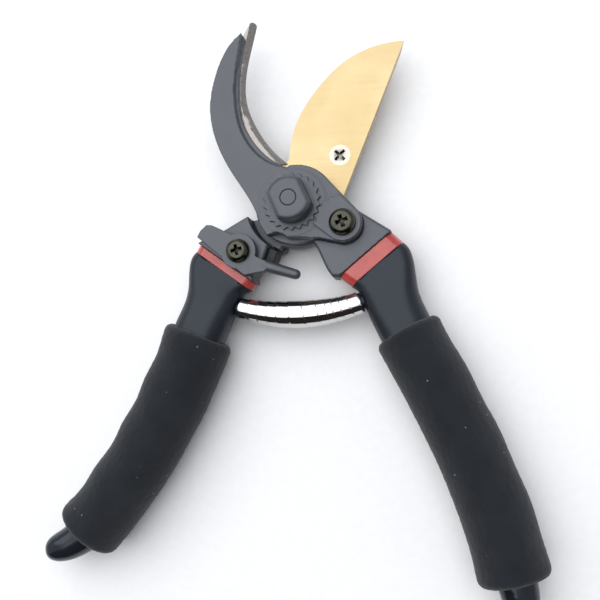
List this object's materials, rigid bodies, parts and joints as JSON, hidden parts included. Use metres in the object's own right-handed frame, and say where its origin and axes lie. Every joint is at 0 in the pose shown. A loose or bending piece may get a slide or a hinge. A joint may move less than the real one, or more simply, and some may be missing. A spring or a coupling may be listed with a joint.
{
  "type": "pruning shears",
  "caption": "Bypass pruning shears with a curved hook, a gold cutting blade, foam-sleeved handles, a volute return spring and a thumb lock.",
  "frame": {"origin": "pivot axis, at the outer face of the pivot bolt's head, on the surface the shears lie on", "axes": "+Z along the pivot towards the nut, +Y between the open jaws, +X towards the handle with the hook"},
  "size_m": [0.1788, 0.215, 0.0265],
  "materials": {
    "black_coat": "fine matt black-grey powder coat over cast steel",
    "ground_steel": "ground hardened steel",
    "gold_blade": "pale gold titanium nitride coat over a ground blade",
    "black_screw": "black oxide, lightly oiled",
    "plated_steel": "bright zinc plate",
    "chrome": "polished chrome-plated spring ribbon",
    "red_plastic": "clear red moulded plastic",
    "black_grip": "satin black moulded grip",
    "foam": "matt black closed-cell foam",
    "rubber": "black rubber",
    "bronze": "sintered bronze bush"
  },
  "bodies": {
    "hook_side": {"hook_plate": "black_coat", "counter_blade": "ground_steel", "counter_blade_rivets": "black_coat", "right_handle_casting": "black_coat", "tail_screw": "black_screw", "toothed_ring": "black_coat", "tooth_segment": "black_coat", "pivot_nut": "black_screw", "pivot_bolt": "black_screw", "bolt_washer": "plated_steel", "catch_stud": "plated_steel", "right_collar": "red_plastic", "right_grip": "black_grip", "right_foam_sleeve": "foam", "right_spring_seat": "plated_steel", "return_spring": "chrome"},
    "blade_side": {"cutting_blade": "gold_blade", "blade_screw": "plated_steel", "pivot_bushing": "bronze", "left_handle_casting": "black_coat", "bumper": "rubber", "left_collar": "red_plastic", "left_grip": "black_grip", "left_foam_sleeve": "foam", "left_spring_seat": "plated_steel"},
    "lock": {"lock_lever": "black_coat", "lock_screw": "black_screw", "lock_hook": "black_coat", "lock_nut": "plated_steel"}
  },
  "joints": [
    {"name": "pivot", "type": "hinge", "parent": "hook_side", "child": "blade_side", "pos_m": [0, 0, 0], "axis": [0, 0, 1], "range_deg": [0, 45.5], "stiffness_Nm_per_rad": 1, "springref_deg": -20.05, "deforming": ["return_spring"]},
    {"name": "lock_turn", "type": "hinge", "parent": "blade_side", "child": "lock", "pos_m": [-0.0194, -0.0174, 0.017], "axis": [0, 0, 1], "range_deg": [-30, 0]}
  ]
}
